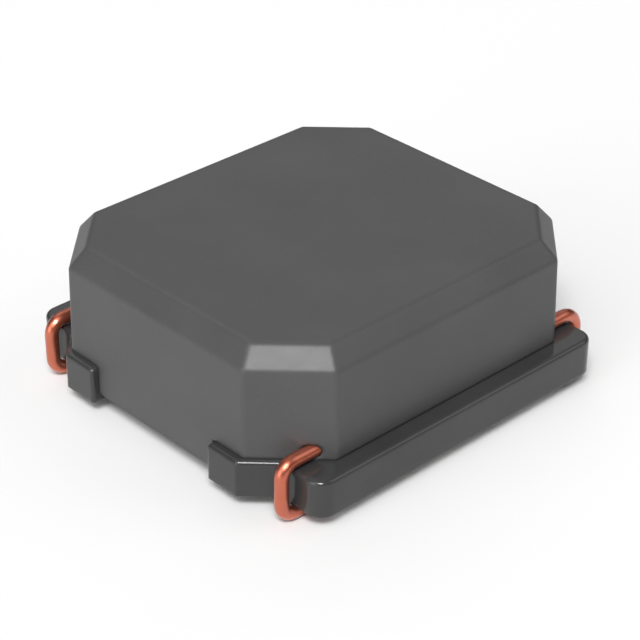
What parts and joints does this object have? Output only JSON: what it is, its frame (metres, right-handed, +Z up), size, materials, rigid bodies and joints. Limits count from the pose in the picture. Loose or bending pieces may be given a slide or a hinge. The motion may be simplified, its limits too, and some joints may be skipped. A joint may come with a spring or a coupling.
{
  "type": "shielded surface-mount power inductor",
  "caption": "Low square surface-mount choke: moulded magnetic body with cut corners on a flat core, enamelled copper wire folded round the core's corners onto tinned pads.",
  "frame": {"origin": "middle of the footprint, on the plane of the flat terminal bottoms", "axes": "+Z up from the board, +X along the two bars of the core and over the tabs, +Y across the bars"},
  "size_m": [0.004, 0.0038, 0.0015],
  "materials": {
    "core_powder": "pressed, fired magnetic powder, satin",
    "body_composite": "moulded magnetic powder in resin, satin",
    "enamelled_copper": "copper under clear enamel",
    "tin": "dipped tin, soft shine"
  },
  "bodies": {
    "root": {"core": "core_powder", "shield_body": "body_composite", "winding": "enamelled_copper", "terminal_start": "tin", "terminal_finish": "tin"}
  },
  "joints": []
}
